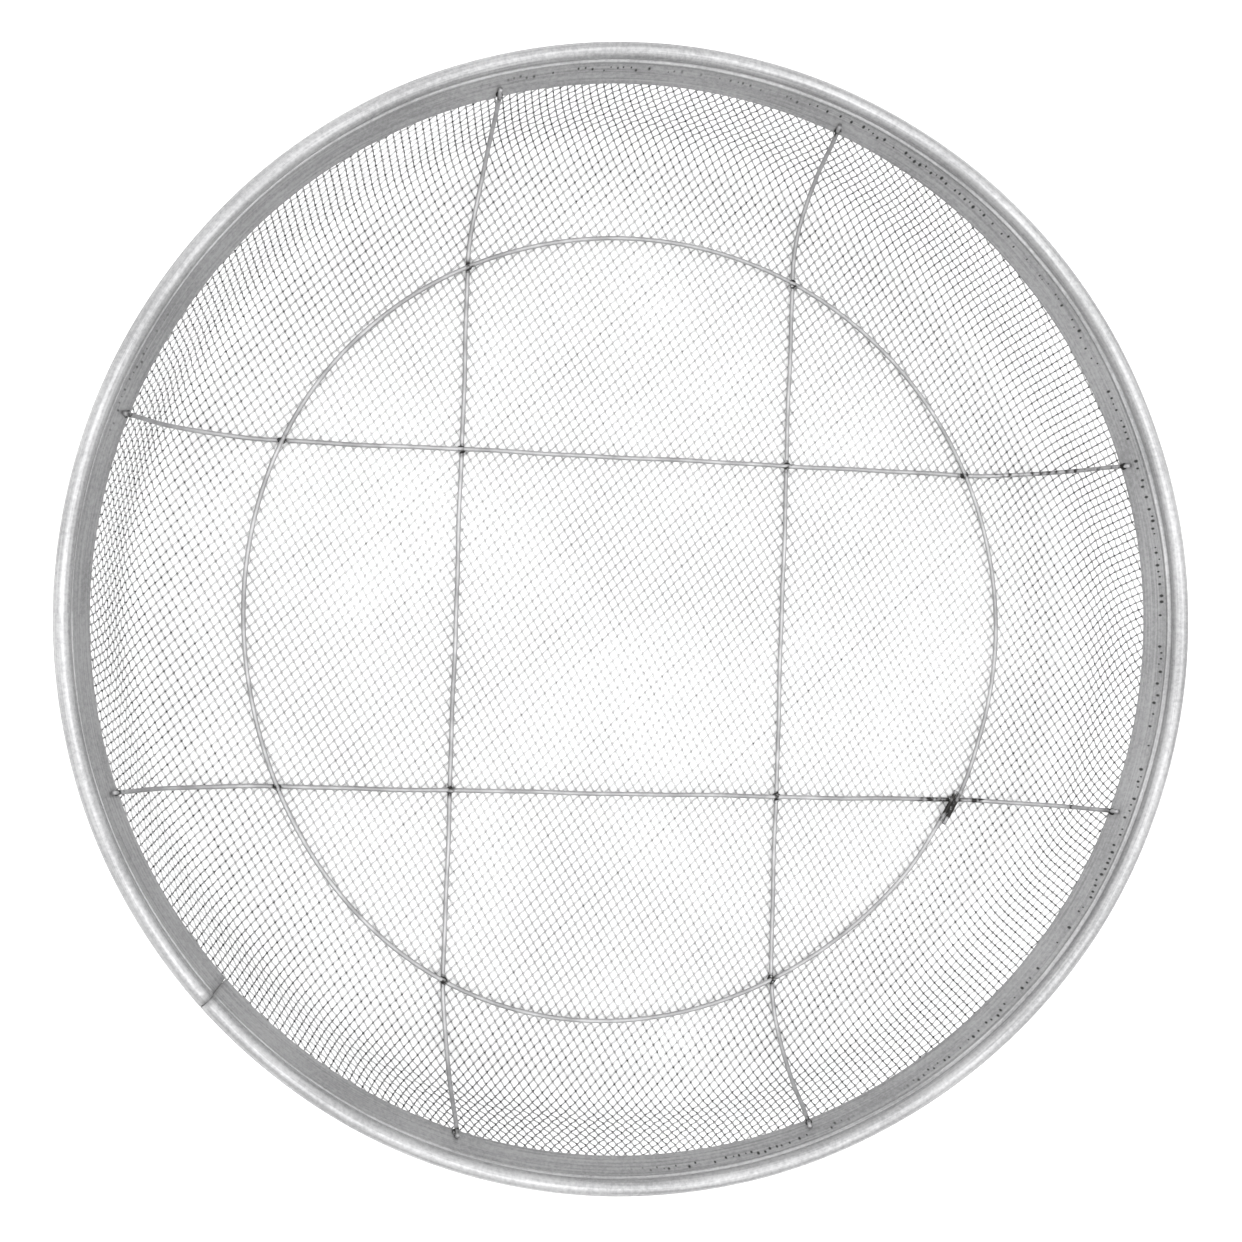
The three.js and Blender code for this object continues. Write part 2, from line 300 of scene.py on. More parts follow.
def rolled_lines(tree, where, azimuth, radius, z):
    """The sheet's unevenness: streaks drawn out round the rim, patches and a fine grain."""
    add, subtract, multiply = arithmetic(tree)
    # An azimuth in radians grows slowly and metres grow fast, so the streaks are long and thin.
    along, across = 1.2, 620.0
    stretched = tree.nodes.new("ShaderNodeCombineXYZ")
    for socket, value, scale in zip(stretched.inputs, (azimuth, radius, z), (along, across, across)):
        tree.links.new(multiply(value, scale), socket)
    streaks = noise(tree, stretched.outputs[0], scale=2.2, detail=5.0, roughness=0.62)
    patches = noise(tree, where, scale=30.0, detail=3.0)
    grain = noise(tree, where, scale=850.0, detail=3.0, roughness=0.7)
    blend = add(multiply(streaks, 0.65), multiply(patches, 0.35))
    return add(blend, multiply(subtract(grain, 0.5), 0.5))


# Pressed marks on the collar: one cell for each, round the rim and below the bead's middle.
MARK_PITCH = 2.0
MARK_AT_R = 168.0
MARK_DROP = 7.4
# Millimetres of height that a whole cell counts as. More than its width makes pits narrow.
MARK_CELL_COUNTS_AS = 2.9
MARK_SHIFT = 0.5
MARK_WANDER = 3.0
MARK_SCATTER = 1.4
MARK_SMALLEST = 0.4
MARK_GROWTH = 0.5
MARK_DEPTH = 1.5
MARK_SHADE_STRENGTH = 2.2
MARK_SHADE_COLOUR = grey(0.05)
# The share of cells left empty, and how the others depend on the stretch of the rim: the
# noise that a stretch needs, how sharply it counts, and how much the side with most marks helps.
MARK_SKIPPED = 0.3
MARKED_ABOVE = 0.46
MARKED_SHARPNESS = 7.0
MARKED_SIDE = 0.35
MARKED_SIDE_HELPS = 0.17


def pressed_marks(tree, where, azimuth, z):
    """Small pits round the collar, 1 at their middle. Chance leaves many cells without one."""
    add, subtract, multiply = arithmetic(tree)
    cells = multiply(azimuth, MARK_AT_R / MARK_PITCH)
    pick = node(tree, "ShaderNodeTexWhiteNoise", noise_dimensions="1D")
    tree.links.new(calc(tree, "FLOOR", cells), pick.inputs["W"])
    chance = tree.nodes.new("ShaderNodeSeparateColor")
    tree.links.new(pick.outputs["Color"], chance.inputs[0])
    shift_chance, level_chance, size_chance = chance.outputs[:]
    # How far a point is from the cell's pit, which wanders sideways and in height.
    shift = multiply(subtract(shift_chance, 0.5), MARK_SHIFT)
    across = subtract(subtract(calc(tree, "FRACT", cells), 0.5), shift)
    across = multiply(across, MARK_CELL_COUNTS_AS)
    wander = noise(tree, where, scale=9.0, detail=1.0)
    level = multiply(subtract(wander, 0.5), MARK_WANDER)
    level = add(level, multiply(level_chance, MARK_SCATTER))
    up = subtract(multiply(z, 1 / MM), add(level, BEAD_Z - MARK_DROP))
    gap = calc(tree, "SQRT", add(multiply(across, across), multiply(up, up)))
    size = add(multiply(size_chance, MARK_GROWTH), MARK_SMALLEST)
    pit = subtract(1.0, calc(tree, "DIVIDE", gap, size), clamp=True)
    # Where pits are found at all.
    region = noise(tree, where, scale=11.0, detail=2.0)
    side = multiply(calc(tree, "COSINE", subtract(azimuth, MARKED_SIDE)), MARKED_SIDE_HELPS)
    stretch = add(subtract(region, MARKED_ABOVE), side)
    stretch = multiply(stretch, MARKED_SHARPNESS, clamp=True)
    kept = calc(tree, "GREATER_THAN", pick.outputs["Value"], MARK_SKIPPED)
    return multiply(pit, multiply(stretch, kept))


def rim_material():
    """Rolled sheet: fine lines round the rim, uneven patches and pressed marks with painted shade in them.
    """
    material, tree, shader, where = new_material("rim_sheet", 0.8)
    add, subtract, multiply = arithmetic(tree)
    split = tree.nodes.new("ShaderNodeSeparateXYZ")
    tree.links.new(where, split.inputs[0])
    x, y, z = split.outputs[:]
    azimuth = calc(tree, "ARCTAN2", y, x)
    radius = calc(tree, "SQRT", add(multiply(x, x), multiply(y, y)))
    blend = rolled_lines(tree, where, azimuth, radius, z)
    pit = pressed_marks(tree, where, azimuth, z)
    colour = ramp(tree, blend, [(0.36, SHEET_DARK), (0.62, SHEET_LIGHT)])
    # Each pit is darkened towards near black: painted shade in the pressed dimples, besides their bump.
    colour = mix_colour(tree, multiply(pit, MARK_SHADE_STRENGTH, clamp=True), colour, MARK_SHADE_COLOUR)
    tree.links.new(colour, shader.inputs["Base Color"])
    rough = ramp(tree, blend, [(0.3, grey(0.54)), (0.7, grey(0.42))])
    tree.links.new(rough, shader.inputs["Roughness"])
    bump = node(tree, "ShaderNodeBump", {"Strength": 0.25, "Distance": 0.0002})
    tree.links.new(subtract(blend, multiply(pit, MARK_DEPTH)), bump.inputs["Height"])
    tree.links.new(bump.outputs[0], shader.inputs["Normal"])
    return material


def weld_material():
    """Burnt weld: nearly black, with a few bright grains."""
    material, tree, shader, where = new_material("weld_scale", 0.3)
    grain = noise(tree, where, scale=900.0, detail=3.0)
    colour = ramp(tree, grain, [(0.4, grey(0.008)), (0.56, grey(0.03)), (0.66, grey(0.4))])
    tree.links.new(colour, shader.inputs["Base Color"])
    shader.inputs["Roughness"].default_value = 0.62
    shader.inputs["Specular IOR Level"].default_value = 0.25
    return material


# ---- woven cloth: a net of equal sides laid over the bowl ----
WARP, WEFT = 0, 1
# The directions of the warp wire and the weft wire that cross at the centre.
WARP_AZIMUTH = math.radians(42.5)
WEFT_AZIMUTH = math.radians(-63.1)
CLOTH_PITCH = 2.54
CLOTH_WIRE = 0.5
CLOTH_SIDES = 5
SHORTEST_RUN = 3
NET_REACH = 200.0
NET_EDGE_R = 186
NET_TOLERANCE = 0.02
# A corner nearer to the opposite one than this share of the pitch has folded back.
FOLDED_WITHIN = 0.25
NEWTON_STEPS = 12
TINY = 1e-6

# Painted shade in the crossings: more on the wall, uneven, and some wires darker all along in a tone that
# differs at random.
SHADE_RISE_FROM_R = 118
SHADE_RISE_OVER = 30
SHADE_ON_BOTTOM = 0.5
SHADE_ADDED_ON_WALL = 0.7
SHADE_UNEVEN = (0.5, 1.25)
SHADE_AND_TONE_MOST = 1.5
DARK_WIRE_MEAN = -0.03
DARK_WIRE_SPREAD = {WARP: 0.22, WEFT: 0.12}
DARK_WIRE_MOST = 0.5


def lay_net(pitch, reach):
    """The cloth's crossings as net[warp wire, weft wire], and the number of the middle wires."""
    n = int(reach / pitch) + 1
    net = np.full((2 * n + 1, 2 * n + 1, 3), np.nan)
    steps = np.arange(n + 1) * pitch
    for sign in (1, -1):
        turn = 0 if sign > 0 else math.pi
        rows = n + sign * np.arange(n + 1)
        net[rows, n] = meridian(steps, WEFT_AZIMUTH + turn)
        net[n, rows] = meridian(steps, WARP_AZIMUTH + turn)
    for si in (1, -1):
        for sj in (1, -1):
            fill_quarter(net, n, si, sj, pitch)
    return net, n


def fill_quarter(net, n, si, sj, pitch):
    """Close the cells between two half axes of the net, one diagonal after another."""
    for total in range(2, 2 * n + 1):
        i = np.arange(max(1, total - n), min(n, total - 1) + 1)
        j = total - i
        a = net[n + si * i, n + sj * (j - 1)]
        b = net[n + si * (i - 1), n + sj * j]
        c = net[n + si * (i - 1), n + sj * (j - 1)]
        known = ~(np.isnan(a).any(1) | np.isnan(b).any(1) | np.isnan(c).any(1))
        if not known.any():
            break
        corners = close_cell(a[known], b[known], c[known], pitch)
        net[n + si * i[known], n + sj * j[known]] = corners


def close_cell(a, b, c, pitch):
    """The fourth corners of cells whose sides all measure pitch, on the bowl."""
    q = (a + b - c)[:, :2]
    for _ in range(NEWTON_STEPS):
        r = np.maximum(np.hypot(q[:, 0], q[:, 1]), TINY)
        z, slope = cloth_height(r)
        zx = slope * q[:, 0] / r
        zy = slope * q[:, 1] / r
        da = np.column_stack([q - a[:, :2], z - a[:, 2]])
        db = np.column_stack([q - b[:, :2], z - b[:, 2]])
        fa = (da**2).sum(1) - pitch**2
        fb = (db**2).sum(1) - pitch**2
        j11, j12 = 2 * (da[:, 0] + da[:, 2] * zx), 2 * (da[:, 1] + da[:, 2] * zy)
        j21, j22 = 2 * (db[:, 0] + db[:, 2] * zx), 2 * (db[:, 1] + db[:, 2] * zy)
        det = j11 * j22 - j12 * j21
        det = np.where(np.abs(det) < TINY, np.nan, det)
        step = np.column_stack([(fa * j22 - fb * j12) / det, (fb * j11 - fa * j21) / det])
        q = q - np.clip(step, -pitch, pitch)
    r = np.hypot(q[:, 0], q[:, 1])
    z, _ = cloth_height(r)
    out = np.column_stack([q, z])
    beyond = r > NET_EDGE_R
    open_side = np.abs(np.linalg.norm(out - a, axis=1) - pitch) > NET_TOLERANCE
    folded_back = np.linalg.norm(out - c, axis=1) < FOLDED_WITHIN * pitch
    out[beyond | open_side | folded_back] = np.nan
    return out


def surface_normal(points):
    r = np.maximum(np.hypot(points[:, 0], points[:, 1]), TINY)
    _, slope = cloth_height(r)
    normal = np.column_stack([-slope * points[:, 0] / r, -slope * points[:, 1] / r, np.ones(len(r))])
    return normal / np.linalg.norm(normal, axis=1)[:, None]


def runs_inside(line, edge_r):
    """The unbroken stretches of one wire's crossings that lie within edge_r."""
    known = ~np.isnan(line).any(1)
    index = np.flatnonzero(known & (np.hypot(line[:, 0], line[:, 1]) < edge_r))
    runs = np.split(index, np.flatnonzero(np.diff(index) > 1) + 1)
    return [run for run in runs if len(run) >= SHORTEST_RUN]


def weave(net, n, family, name, material):
    """All wires of one family as capped tubes, passing over and under the other family."""
    edge_r = cloth_at_collar[0] + UP_WALL[0] * CLOTH_IN_COLLAR
    lines = net if family == WARP else net.transpose(1, 0, 2)
    starts_over = 1 if family == WARP else -1
    dark = rng.normal(DARK_WIRE_MEAN, DARK_WIRE_SPREAD[family], len(lines))
    dark = np.clip(dark, 0, DARK_WIRE_MOST)
    verts, faces, shades_and_tones, counts, used = [], [], [], [], 0
    for k, line in enumerate(lines):
        for run in runs_inside(line, edge_r):
            points = line[run]
            normal = surface_normal(points)
            over = np.where((run + k) % 2 == 0, 1.0, -1.0) * starts_over
            points = points + normal * (over * CLOTH_WIRE / 2)[:, None]
            v, quads, caps = tube(points, normal, CLOTH_WIRE / 2, CLOTH_SIDES)
            r = np.hypot(points[:, 0], points[:, 1])
            # Wires on the wall get more painted shade than those on the flat bottom.
            wall = smoothstep((r - SHADE_RISE_FROM_R) / SHADE_RISE_OVER)
            shade_and_tone = SHADE_ON_BOTTOM + SHADE_ADDED_ON_WALL * wall
            shade_and_tone = shade_and_tone * rng.uniform(*SHADE_UNEVEN, len(points)) + dark[k]
            verts.append(v)
            shades_and_tones.append(np.repeat(np.clip(shade_and_tone, 0, SHADE_AND_TONE_MOST), CLOTH_SIDES))
            counts.append(np.repeat(run - n, CLOTH_SIDES))
            faces.extend((quads + used).tolist())
            faces.extend([[i + used for i in cap] for cap in caps])
            used += len(v)
    obj = make_mesh(name, np.concatenate(verts), faces, material)
    point_attribute(obj, "shade_and_tone", np.concatenate(shades_and_tones))
    point_attribute(obj, "crossing", np.concatenate(counts))
    return obj


# ---- ribs and ring: sizes and places ----
WIRE_D = 1.4
WIRE_GAP = 0.12
WIRE_SIDES = 12
ON_CLOTH = CLOTH_HALF + WIRE_GAP + WIRE_D / 2
ON_COLLAR = COLLAR_FACE + WIRE_GAP + WIRE_D / 2

# A rib runs along x or y at an offset, skewed a little, and veers near its low and high ends.
Rib = namedtuple("Rib", "name along offset skew veer_low veer_high")
RIBS = (
    Rib("rib_west", "y", -54.9, 0.033, 2.5, 4.6),
    Rib("rib_east", "y", 51.9, 0.034, 5.7, 5.4),
    Rib("rib_north", "x", 51.8, -0.031, 2.4, 2.3),
    Rib("rib_south", "x", -56.3, -0.0315, -0.7, -0.8),
)
RIB_WEST, RIB_EAST, RIB_NORTH, RIB_SOUTH = RIBS
RIB_END_NAMES = {"x": ("west", "east"), "y": ("south", "north")}
RIB_BEND_R = 36.0
RIB_POINTS = 420
VEER_FROM = 112
VEER_OVER = 48
# Ribs along x pass over the others in the middle and come down to the cloth beyond it.
LIFTED_UNTIL = 60
LIFT_FADES_OVER = 36
# Where ribs move from the cloth's face to the collar's.
TO_COLLAR_FROM_R = 157
TO_COLLAR_OVER = 7
# How far a rib's end reaches up the collar.
STUB = 4.0
WALK_STEPS = 40
CROSSING_STEPS = 8
SWAY_DEPTHS = (0.12, 0.06)
SWAY_LENGTHS = (70, 29)

# The ring is a circle with a few lobes: waves round it, depth, and phase in degrees.
RING_R = 124.5
RING_Z = CLOTH_HALF + ON_CLOTH + WIRE_D + WIRE_GAP
RING_CENTRE = np.array([1.1, -2.3])
RING_LOBES = ((2, 1.3, 167), (3, 1.2, 32), (4, 0.5, -101))
RING_POINTS = 900
SPLICE = math.radians(331)
SPLICE_ARC = math.radians(5.4)
SPLICE_MERGE = math.radians(10)

rib_bend_top_z = CLOTH_HALF + RIB_BEND_R * (1 - math.cos(WALL))
rib_wall_length = (cloth_at_collar[1] - rib_bend_top_z) / UP_WALL[1]
rib_bend_top = cloth_at_collar - UP_WALL * rib_wall_length
rib_bend_centre = np.array([rib_bend_top[0] - RIB_BEND_R * math.sin(WALL), CLOTH_HALF + RIB_BEND_R])


def rib_height(r, offset):
    """Height of a rib's middle at radius r, offset inside the bottom and the collar."""
    radius = RIB_BEND_R - offset
    beyond = max(r - rib_bend_centre[0], 0.0)
    if beyond <= radius * math.sin(WALL):
        return rib_bend_centre[1] - math.sqrt(radius * radius - beyond * beyond)
    wall_start = rib_bend_top + INTO_BOWL * offset
    return wall_start[1] + (r - wall_start[0]) * math.tan(WALL)


def rib_plan(rib, v):
    """Where a rib is, seen from above, at distance v along its axis."""
    v = np.asarray(v, float)
    veer = smoothstep((np.abs(v) - VEER_FROM) / VEER_OVER)
    veer = veer * np.where(v < 0, rib.veer_low, rib.veer_high)
    side = rib.offset + rib.skew * v + veer
    return np.stack([side, v] if rib.along == "y" else [v, side], -1)


def rib_points(rib, v):
    plan = rib_plan(rib, v)
    r = np.hypot(plan[:, 0], plan[:, 1])
    offset = ON_CLOTH + (ON_COLLAR - ON_CLOTH) * smoothstep((r - TO_COLLAR_FROM_R) / TO_COLLAR_OVER)
    z = np.array([rib_height(a, b) for a, b in zip(r, offset)])
    if rib.along == "x":
        lowered = smoothstep((np.abs(v) - LIFTED_UNTIL) / LIFT_FADES_OVER)
        z = z + (WIRE_D + WIRE_GAP) * (1 - lowered)
    return np.column_stack([plan, z])


def ring_radius(angle):
    return RING_R + sum(s * np.cos(k * angle - math.radians(p)) for k, s, p in RING_LOBES)


def walk_out(rib, sign, centre, radius_at):
    """How far along its axis a rib meets an outline round centre, given as radius by angle."""
    v = sign * RING_R
    for _ in range(WALK_STEPS):
        arm = rib_plan(rib, v) - centre
        v += sign * (radius_at(math.atan2(arm[1], arm[0])) - math.hypot(*arm))
    return float(v)


def ring_points(count):
    """The ring from one lapped end to the other, which lie side by side at the splice."""
    turned = np.linspace(0, 2 * math.pi + SPLICE_ARC, count)
    apart = (WIRE_D + WIRE_GAP) / 2
    first = 1 - smoothstep((turned - SPLICE_ARC) / SPLICE_MERGE)
    last = smoothstep((turned - (2 * math.pi - SPLICE_MERGE)) / SPLICE_MERGE)
    angle = SPLICE - SPLICE_ARC / 2 + turned
    r = ring_radius(angle) + apart * (first - last)
    flat = RING_CENTRE + np.column_stack([r * np.cos(angle), r * np.sin(angle)])
    return np.column_stack([flat, np.full(count, RING_Z)])


rib_end_r = COLLAR_EDGE_R + STUB * UP_WALL[0] + (ON_COLLAR - COLLAR_FACE) * INTO_BOWL[0]
rib_ends = {
    rib.name: [walk_out(rib, sign, np.zeros(2), lambda a: rib_end_r) for sign in (-1, 1)]
    for rib in RIBS
}


# ---- weld spots ----
WELD_SIZE = (1.45, 1.1, 0.85)
END_WELD_SIZE = (1.15, 1.0, 0.6)
SPLICE_WELD_SIZE = (0.75, 4.2, 0.7)
SPLICE_WELD_TURN = SPLICE - 0.12
SPLICE_WELD_SHIFT = (0.9, 0.8)
END_WELD_ALONG_STUB = 0.35
END_WELD_SUNK = 0.4
LUMP_ROWS, LUMP_COLS = 12, 18
LUMP_WAVES = 6
LUMP_WAVINESS = 3.0
LUMP_SWELL = 0.09
SCORCH_REACH = 1.6
SPLICE_SCORCH_REACH = 4.6
STRAIGHT_UP = (0, 0, 1)


def rib_crossing(upright, level):
    """Where a rib along y crosses one along x, seen from above."""
    x, y = upright.offset, level.offset
    for _ in range(CROSSING_STEPS):
        x = float(rib_plan(upright, y)[0])
        y = float(rib_plan(level, x)[1])
    return x, y


def end_weld(rib, sign, v_end):
    """Place and normal of the weld that holds a rib's end on the collar."""
    v = v_end - sign * STUB * END_WELD_ALONG_STUB
    p = rib_points(rib, np.array([v]))[0]
    inward = -p[:2] / np.hypot(*p[:2])
    normal = np.array([*(inward * -INTO_BOWL[0]), INTO_BOWL[1]])
    return tuple(p - normal * WIRE_D * END_WELD_SUNK), tuple(normal)


def find_welds():
    """Every weld's place and normal: rib over rib, ring over rib, rib end, and the splice."""
    welds = {}
    for upright in (RIB_WEST, RIB_EAST):
        for level in (RIB_NORTH, RIB_SOUTH):
            place = (*rib_crossing(upright, level), CLOTH_HALF + ON_CLOTH + WIRE_D / 2)
            welds[f"weld_{upright.name}_{level.name}"] = (place, STRAIGHT_UP)
    for rib in RIBS:
        for end, sign, v_end in zip(RIB_END_NAMES[rib.along], (-1, 1), rib_ends[rib.name]):
            x, y = rib_plan(rib, walk_out(rib, sign, RING_CENTRE, ring_radius))
            place = (float(x), float(y), RING_Z - WIRE_D / 2)
            welds[f"weld_ring_{rib.name}_{end}"] = (place, STRAIGHT_UP)
            welds[f"weld_end_{rib.name}_{end}"] = end_weld(rib, sign, v_end)
    x, y = RING_CENTRE + ring_radius(SPLICE) * np.array([math.cos(SPLICE), math.sin(SPLICE)])
    welds["weld_ring_splice"] = ((x, y, RING_Z), STRAIGHT_UP)
    return welds


def lump(name, place, normal, size, material, turn):
    """A small uneven fused bead. size: half widths along, across and through."""
    rows, cols = LUMP_ROWS, LUMP_COLS
    theta = np.linspace(0, math.pi, rows + 1)[1:-1]
    phi = np.arange(cols) * 2 * math.pi / cols
    dirs = [(math.sin(t) * math.cos(p), math.sin(t) * math.sin(p), math.cos(t)) for t in theta for p in phi]
    dirs = np.vstack([dirs, [0, 0, 1], [0, 0, -1]])
    waves = rng.normal(size=(LUMP_WAVES, 3)) * LUMP_WAVINESS
    shift = rng.uniform(0, 6.28, LUMP_WAVES)
    swell = 1 + LUMP_SWELL * np.sin(dirs @ waves.T + shift).sum(1) / 2
    shape = dirs * swell[:, None] * np.array(size)
    spin = Matrix.Rotation(turn, 3, "Z")
    tilt = Vector(normal).to_track_quat("Z", "Y").to_matrix()
    shape = shape @ np.array(tilt @ spin).T + np.array(place)
    faces = []
    for i in range(rows - 2):
        for j in range(cols):
            a = i * cols + j
            b = i * cols + (j + 1) % cols
            faces.append([a, a + cols, b + cols, b])
    top, bottom, last = len(dirs) - 2, len(dirs) - 1, (rows - 2) * cols
    for j in range(cols):
        faces.append([top, j, (j + 1) % cols])
        faces.append([bottom, last + (j + 1) % cols, last + j])
    return make_mesh(name, shape, faces, material)


def add_weld(name, place, normal, material):
    size = WELD_SIZE
    turn = float(rng.uniform(0, 3))
    if "splice" in name:
        size, turn = SPLICE_WELD_SIZE, SPLICE_WELD_TURN
        place = (place[0] + SPLICE_WELD_SHIFT[0], place[1] + SPLICE_WELD_SHIFT[1], place[2])
    elif "end" in name:
        size = END_WELD_SIZE
    add_piece(lump(name + "_bead", place, normal, size, material, turn), "weld_steel", name)


# Burnt specks away from the weld beads: rib, where along it, how far each reaches.
BURNS = [(RIB_NORTH, v, 0.9) for v in np.arange(126.0, 162.0, 2.3)]
BURNS += [(RIB_SOUTH, v, 1.2) for v in (99.5, 102.3, 105.0, 117.5, 120.0)]
BURNS += [(RIB_SOUTH, v, 0.9) for v in (146.0, 150.0, 153.5, 156.5)]


def scorched_spots(welds):
    """Every burnt place on the wires, and how far it reaches."""
    spots = []
    for name, (place, _) in welds.items():
        spots.append((place, SPLICE_SCORCH_REACH if "splice" in name else SCORCH_REACH))
    for rib, v, reach in BURNS:
        spots.append((rib_points(rib, np.array([v]))[0], reach))
    return spots


def lay_wire(name, points, spots, material):
    """A rib or the ring as one tube, with the attribute scorch: 1 at a burnt place, then fading."""
    up = np.tile([0.0, 0.0, 1.0], (len(points), 1))
    verts, quads, caps = tube(points, up, WIRE_D / 2, WIRE_SIDES)
    obj = make_mesh(name, verts, quads.tolist() + caps, material)
    co = np.array([v.co for v in obj.data.vertices]) / MM
    scorch = np.zeros(len(co))
    for place, reach in spots:
        distance = np.linalg.norm(co - np.array(place), axis=1)
        scorch = np.maximum(scorch, np.exp(-((distance / reach) ** 2)))
    point_attribute(obj, "scorch", scorch)
    return obj


def add_rib(rib, spots, material):
    v = np.linspace(*rib_ends[rib.name], RIB_POINTS)
    points = rib_points(rib, v)
    phases = rng.uniform(0, 6, 2)
    sway = sum(
        depth * np.sin(2 * math.pi * v / length + phase)
        for depth, length, phase in zip(SWAY_DEPTHS, SWAY_LENGTHS, phases)
    )
    points[:, 0 if rib.along == "y" else 1] += sway
    add_piece(lay_wire(rib.name + "_wire", points, spots, material), "wire_steel", rib.name)


# ---- rim ----
# A small bend eases the inner leaf into the bead, with a fine ridge just below it.
LEAF_EASE = 0.9
RIDGE_HEIGHT = 0.55
RIDGE_DOWN = 1.05
RIDGE_WIDTH = 0.48
RIM_SECTIONS = 400
CORE_SECTIONS, CORE_SIDES = 300, 16
SEAM_HALF_GAP = 0.14
# The hand-rolled rim is a little uneven: waves round it, depth and phase. The collar's foot has
# less of the wobble, and the pressed waves are between foot and bead.
WOBBLE = ((2, 0.25, 0.6), (3, 0.15, 2.1), (5, 0.1, 4.0), (9, 0.05, 1.0), (17, 0.03, 5.2))
WOBBLE_AT_FOOT, WOBBLE_GROWTH = 0.4, 0.6
PRESSED = ((11, 0.06, 1.7), (23, 0.05, 0.2), (37, 0.03, 3.0))


def rim_line():
    """The middle line of the folded and rolled strip, from the inner leaf's foot to the outer's."""
    r = BEAD_R - STRIP / 2
    inner_foot = cloth_at_collar + INTO_BOWL * LEAF_OFFSET
    outer_foot = cloth_at_collar - INTO_BOWL * LEAF_OFFSET
    # The roll starts on the bead's side down the wall, and ends on the outer leaf's line.
    start = WALL + math.pi
    outward = math.atan2(-INTO_BOWL[1], -INTO_BOWL[0])
    reach = float((outer_foot - bead_centre) @ INTO_BOWL) / -r
    end = outward - math.acos(max(-1, min(1, reach)))
    sweep = (start - end) % (2 * math.pi)

    def on_roll(angle):
        return bead_centre + r * np.array([math.cos(angle), math.sin(angle)])

    leaf_top = bead_centre - UP_WALL * (r + LEAF_EASE)
    leaf_length = np.linalg.norm(leaf_top - inner_foot)
    line = []
    # The inner leaf, with more points along its ridge.
    for t in np.concatenate([np.linspace(0, 0.7, 8), np.linspace(0.73, 1, 18)]):
        from_ridge = (1 - t) * leaf_length - RIDGE_DOWN
        ridge = RIDGE_HEIGHT * math.exp(-((from_ridge / RIDGE_WIDTH) ** 2))
        line.append(inner_foot + (leaf_top - inner_foot) * t + INTO_BOWL * ridge)
    turn_in = LEAF_EASE / r
    for t in np.linspace(0.15, 1, 7):
        from_leaf = leaf_top + UP_WALL * LEAF_EASE * t
        line.append(from_leaf * (1 - t) + on_roll(start - turn_in * t) * t)
    for angle in np.linspace(start - turn_in, start - sweep, 44)[1:]:
        line.append(on_roll(angle))
    # Each point goes a growing share of what is left of the way down the outer leaf.
    for t in np.linspace(0, 1, 12)[1:]:
        line.append(line[-1] + (outer_foot - line[-1]) * t)
    return np.array(line)


def rim_profile():
    """The strip's closed outline: its line, thickened, with round edges."""
    line = rim_line()
    along = np.gradient(line, axis=0)
    along /= np.linalg.norm(along, axis=1)[:, None]
    left = np.column_stack([-along[:, 1], along[:, 0]])
    half = STRIP / 2
    near = line - left * half
    far = line + left * half
    round_edge = np.linspace(0, math.pi, 7)[1:-1]
    end_tip = [line[-1] + half * (math.sin(a) * along[-1] - math.cos(a) * left[-1]) for a in round_edge]
    start_tip = [line[0] + half * (-math.sin(a) * along[0] + math.cos(a) * left[0]) for a in round_edge]
    return np.vstack([near, end_tip, far[::-1], start_tip])


def ripple(azimuth, waves):
    return sum(depth * np.sin(k * azimuth + phase) for k, depth, phase in waves)


def build_rim(material):
    """The strip's outline carried round from one side of the butt seam to the other."""
    profile = rim_profile()
    gap = SEAM_HALF_GAP / OUTER_R
    az = SEAM_AZIMUTH + np.linspace(gap, 2 * math.pi - gap, RIM_SECTIONS)
    low = profile[:, 1].min()
    share = np.clip((profile[:, 1] - low) / (BEAD_Z - low), 0, 1)
    loose = WOBBLE_AT_FOOT + WOBBLE_GROWTH * share
    belly = np.sin(np.pi * share)
    radius = profile[None, :, 0] + ripple(az, WOBBLE)[:, None] * loose[None]
    radius = radius + ripple(az, PRESSED)[:, None] * belly[None]
    x = radius * np.cos(az)[:, None]
    y = radius * np.sin(az)[:, None]
    z = np.broadcast_to(profile[:, 1], radius.shape)
    verts = np.stack([x, y, z], -1).reshape(-1, 3)
    m = len(profile)
    k = np.arange(RIM_SECTIONS - 1)[:, None] * m
    j = np.arange(m)[None, :]
    after = (j + 1) % m
    quads = np.stack([k + j, k + m + j, k + m + after, k + after], -1).reshape(-1, 4).tolist()
    quads.append(list(range(m)))
    quads.append([(RIM_SECTIONS - 1) * m + i for i in range(m - 1, -1, -1)])
    return make_mesh("rim", verts, quads, material)


def build_core_wire(material):
    """The round wire inside the bead."""
    around, sides = CORE_SECTIONS, CORE_SIDES
    a = (np.arange(around) * 2 * math.pi / around)[:, None]
    b = np.arange(sides) * 2 * math.pi / sides
    r = bead_centre[0] + CORE_WIRE_R * np.cos(b)[None]
    z = np.broadcast_to(BEAD_Z + CORE_WIRE_R * np.sin(b), (around, sides))
    verts = np.stack([r * np.cos(a), r * np.sin(a), z], -1).reshape(-1, 3)
    faces = []
    for i in range(around):
        here = i * sides
        there = (i + 1) % around * sides
        for j in range(sides):
            after = (j + 1) % sides
            faces.append([here + j, there + j, there + after, here + after])
    return make_mesh("rim_core", verts, faces, material)


# ---- make everything ----
cloth_mat = cloth_material()
rim_mat = rim_material()
wire_mat = wire_material()
weld_mat = weld_material()

net, centre = lay_net(CLOTH_PITCH, NET_REACH)
add_piece(weave(net, centre, WARP, "cloth_warp", cloth_mat), "cloth_steel", "mesh_cloth")
add_piece(weave(net, centre, WEFT, "cloth_weft", cloth_mat), "cloth_steel")
add_piece(build_rim(rim_mat), "rim_steel", "rim_band")
add_piece(build_core_wire(wire_mat), "wire_steel", "rim_core_wire")

